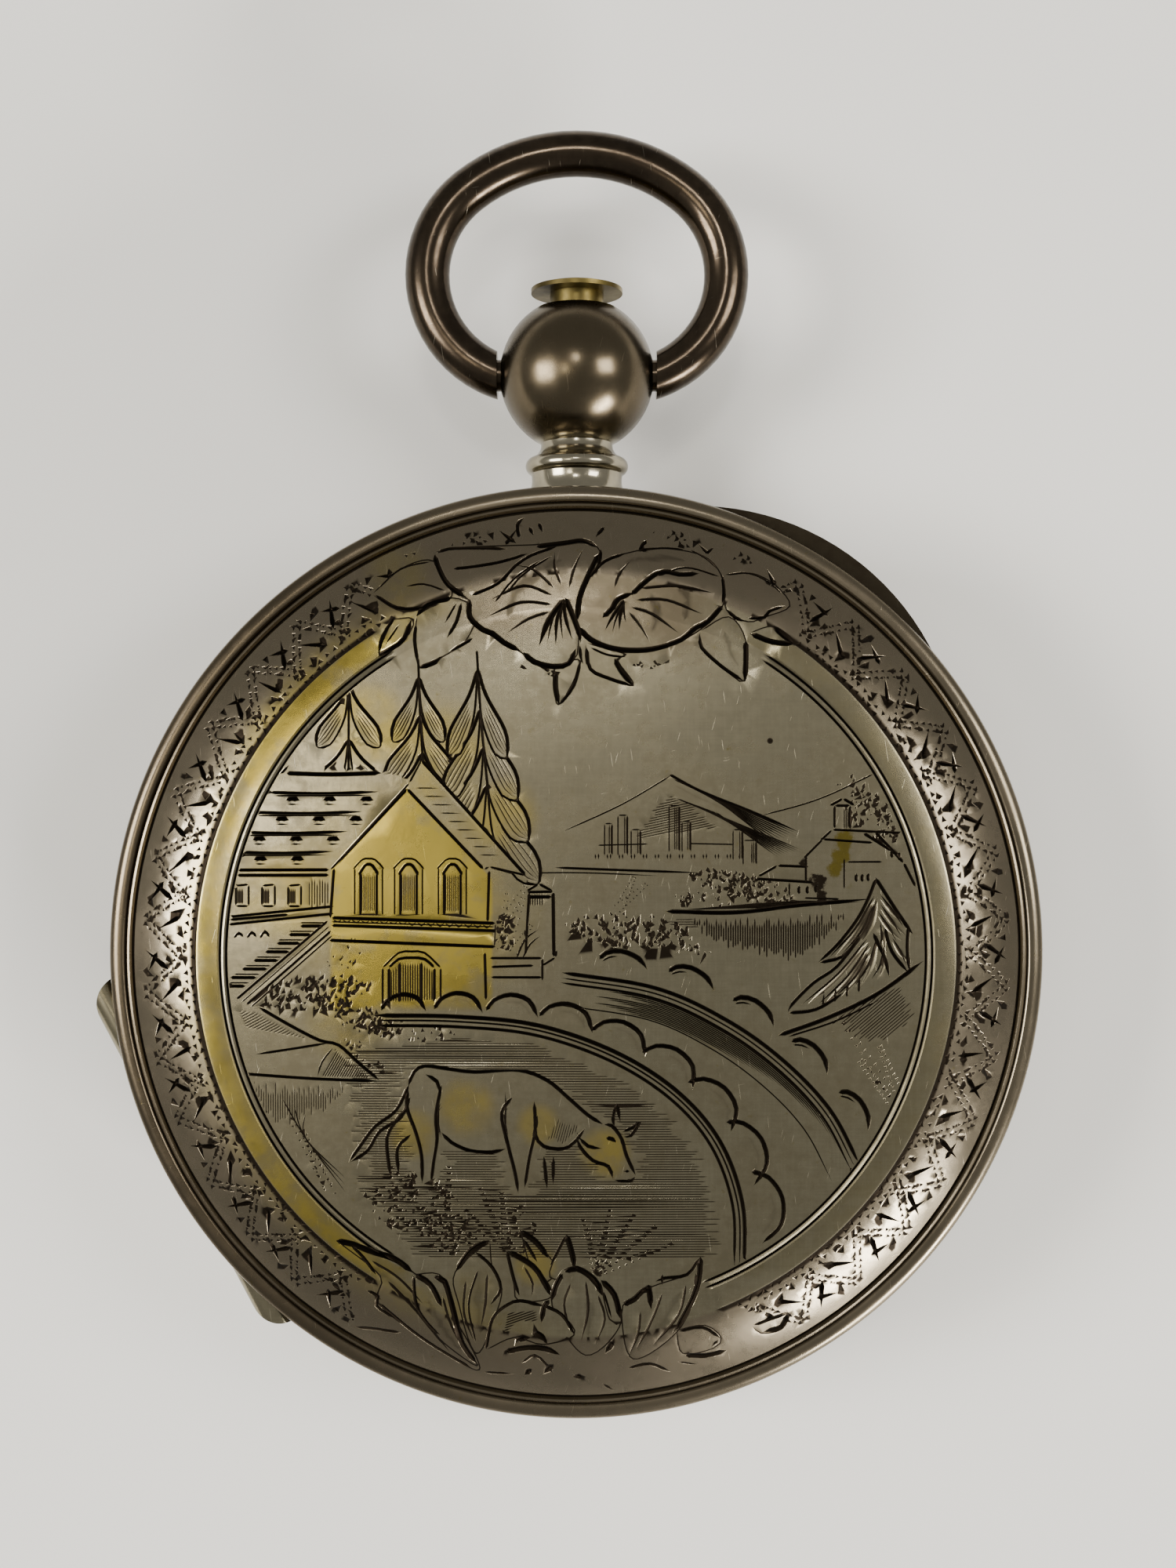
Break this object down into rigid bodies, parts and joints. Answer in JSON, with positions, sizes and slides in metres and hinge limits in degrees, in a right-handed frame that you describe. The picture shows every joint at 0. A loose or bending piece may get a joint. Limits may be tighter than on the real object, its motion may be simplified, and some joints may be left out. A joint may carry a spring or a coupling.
{
  "type": "fob watch",
  "caption": "Open-face key-wound fob watch with a hinged engraved silver back, inner cover, swinging bow and a working going train.",
  "frame": {"origin": "centre of the crystal's flat front face, on the movement's centre line", "axes": "+Z from the crystal towards the engraved back cover, +Y towards the pendant and bow, +X to the right seen from the back"},
  "size_m": [0.0408, 0.0565, 0.0123],
  "materials": {
    "silver_case": "tarnished solid silver, rubbed bright on its edges",
    "silver_engraved": "engraved silver, dark in the cuts, with worn parcel gilding",
    "silver_bow": "browned silver wire, bright where it is rubbed",
    "silver_inner": "polished silver inner cover",
    "brass_aged": "worn gilt brass, olive with age",
    "gilt_brass": "matt fire gilding",
    "wheel_brass": "polished brass",
    "steel_polished": "polished steel",
    "blued_steel": "heat blued steel",
    "crystal_glass": "clear polished glass",
    "enamel": "fired white enamel",
    "ruby": "polished ruby"
  },
  "bodies": {
    "case": {"case_band": "silver_case", "back_hinge_pin": "steel_polished", "bezel_hinge_pin": "steel_polished", "pendant": "silver_case", "push_spring": "steel_polished", "main_plate": "gilt_brass", "dial": "enamel", "barrel_bridge": "gilt_brass", "centre_bridge": "gilt_brass", "third_cock": "gilt_brass", "fourth_cock": "gilt_brass", "escape_cock": "gilt_brass", "balance_cock": "gilt_brass", "bridge_screws": "blued_steel", "case_screws": "steel_polished", "jewels": "ruby", "balance_end_cap": "steel_polished", "hairspring": "blued_steel", "click_spring": "steel_polished", "click_screw": "blued_steel"},
    "bezel": {"bezel": "silver_case", "crystal": "crystal_glass"},
    "back": {"back_cover": "silver_engraved", "back_cover_lip": "silver_case", "back_cover_knuckle": "silver_case"},
    "cuvette": {"cuvette": "silver_inner"},
    "bow": {"bow": "silver_bow"},
    "push": {"push_piece": "brass_aged"},
    "catch": {"cover_catch": "steel_polished"},
    "centre_arbor": {"centre_wheel": "wheel_brass", "cannon_pinion": "steel_polished", "minute_hand": "blued_steel"},
    "hour_arbor": {"hour_wheel": "gilt_brass", "hour_hand": "blued_steel"},
    "minute_arbor": {"minute_wheel": "gilt_brass"},
    "third_arbor": {"third_wheel": "wheel_brass"},
    "fourth_arbor": {"fourth_wheel": "wheel_brass"},
    "escape_arbor": {"escape_wheel": "steel_polished"},
    "going_barrel": {"barrel": "wheel_brass", "barrel_cover": "wheel_brass", "mainspring": "blued_steel"},
    "winding_arbor": {"barrel_arbor": "steel_polished", "ratchet_wheel": "steel_polished"},
    "click": {"click": "steel_polished"},
    "balance": {"balance_wheel": "wheel_brass", "balance_cylinder": "steel_polished"},
    "regulator": {"regulator": "steel_polished"}
  },
  "joints": [
    {"name": "back_cover_hinge", "type": "hinge", "parent": "case", "child": "back", "pos_m": [-0.01673, -0.0089, 0.00865], "axis": [0.4695, -0.8829, 0], "range_deg": [0, 100]},
    {"name": "cuvette_hinge", "type": "hinge", "parent": "case", "child": "cuvette", "pos_m": [-0.01673, -0.0089, 0.00865], "axis": [0.4695, -0.8829, 0], "range_deg": [0, 85]},
    {"name": "bezel_hinge", "type": "hinge", "parent": "case", "child": "bezel", "pos_m": [-0.01673, -0.0089, 0.00385], "axis": [0.4695, -0.8829, 0], "range_deg": [-95, 0]},
    {"name": "bow_swing", "type": "hinge", "parent": "case", "child": "bow", "pos_m": [0, 0.0255, 0.00625], "axis": [1, 0, 0], "range_deg": [-120, 120]},
    {"name": "push_slide", "type": "slide", "parent": "case", "child": "push", "axis": [0, -1, 0], "range_m": [0, 0.0005], "stiffness_N_per_m": 4000, "springref_m": -0.0002, "deforming": ["push_spring"]},
    {"name": "catch_slide", "type": "slide", "parent": "case", "child": "catch", "axis": [0, -1, 0], "range_m": [0, 0.0005]},
    {"name": "regulator_turn", "type": "hinge", "parent": "case", "child": "regulator", "pos_m": [-0.00663, -0.0038, 0.0095], "axis": [0, 0, 1], "range_deg": [-20, 20]},
    {"name": "balance_swing", "type": "hinge", "parent": "case", "child": "balance", "pos_m": [-0.00663, -0.0038, 0.008], "axis": [0, 0, 1], "range_deg": [-130, 130], "stiffness_Nm_per_rad": 0.00000026},
    {"name": "centre_turn", "type": "hinge", "parent": "case", "child": "centre_arbor", "pos_m": [0, 0, 0.006], "axis": [0, 0, 1], "continuous": true},
    {"name": "hour_turn", "type": "hinge", "parent": "case", "child": "hour_arbor", "pos_m": [0, 0, 0.004], "axis": [0, 0, 1], "continuous": true},
    {"name": "minute_wheel_turn", "type": "hinge", "parent": "case", "child": "minute_arbor", "pos_m": [0.00293, -0.00107, 0.004], "axis": [0, 0, 1], "continuous": true},
    {"name": "third_turn", "type": "hinge", "parent": "case", "child": "third_arbor", "pos_m": [0.0027, -0.00468, 0.007], "axis": [0, 0, 1], "continuous": true},
    {"name": "fourth_turn", "type": "hinge", "parent": "case", "child": "fourth_arbor", "pos_m": [-0.00145, -0.00619, 0.007], "axis": [0, 0, 1], "continuous": true},
    {"name": "escape_turn", "type": "hinge", "parent": "case", "child": "escape_arbor", "pos_m": [-0.00525, -0.00619, 0.007], "axis": [0, 0, 1], "continuous": true},
    {"name": "barrel_turn", "type": "hinge", "parent": "case", "child": "going_barrel", "pos_m": [0.00371, 0.00643, 0.007], "axis": [0, 0, 1], "continuous": true},
    {"name": "winding_turn", "type": "hinge", "parent": "case", "child": "winding_arbor", "pos_m": [0.00371, 0.00643, 0.009], "axis": [0, 0, 1], "continuous": true},
    {"name": "click_lift", "type": "hinge", "parent": "case", "child": "click", "pos_m": [0.0072, 0.00458, 0.0095], "axis": [0, 0, 1], "range_deg": [0, 6], "stiffness_Nm_per_rad": 0.000001, "springref_deg": -9.74}
  ],
  "couplings": [
    {"joint": "cuvette_hinge", "follows": "back_cover_hinge", "ratio": 0.85},
    {"joint": "catch_slide", "follows": "push_slide", "ratio": 1},
    {"joint": "hour_turn", "follows": "centre_turn", "ratio": 0.083333},
    {"joint": "minute_wheel_turn", "follows": "centre_turn", "ratio": -0.33333},
    {"joint": "third_turn", "follows": "centre_turn", "ratio": -8},
    {"joint": "fourth_turn", "follows": "centre_turn", "ratio": 60},
    {"joint": "escape_turn", "follows": "centre_turn", "ratio": -600},
    {"joint": "barrel_turn", "follows": "centre_turn", "ratio": -0.125}
  ]
}
